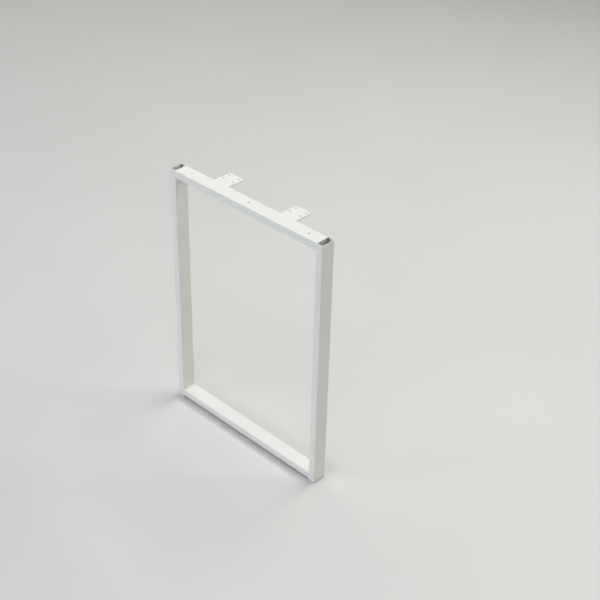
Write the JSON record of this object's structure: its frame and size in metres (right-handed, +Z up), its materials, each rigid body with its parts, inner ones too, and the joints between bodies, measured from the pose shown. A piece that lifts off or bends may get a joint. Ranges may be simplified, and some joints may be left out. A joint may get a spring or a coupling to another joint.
{
  "type": "desk leg",
  "caption": "Closed upright frame of coated rectangular steel tube that stands under one end of a desk top, with drilled mounting plates and screw holes along its top rail.",
  "frame": {"origin": "centre of the middle screw hole in the top rail, in the plane on which the desk top rests; X = 0 is midway between the uprights and Y = 0 is the middle plane of the tubes", "axes": "+X along the frame from the left upright to the right one, +Y through the frame towards the mounting plates, +Z up towards the desk top"},
  "size_m": [0.52, 0.092, 0.71],
  "materials": {
    "tube_coat": "satin white powder coat",
    "plate_coat": "satin white powder coat",
    "weld_coat": "satin white powder coat over a weld",
    "plug_plastic": "matte white moulded polyethylene"
  },
  "bodies": {
    "root": {"left_upright": "tube_coat", "right_upright": "tube_coat", "top_rail": "tube_coat", "bottom_rail": "tube_coat", "left_mounting_plate": "plate_coat", "right_mounting_plate": "plate_coat", "left_foot_plug": "plug_plastic", "right_foot_plug": "plug_plastic", "corner_welds": "weld_coat", "plate_welds": "weld_coat"}
  },
  "joints": []
}
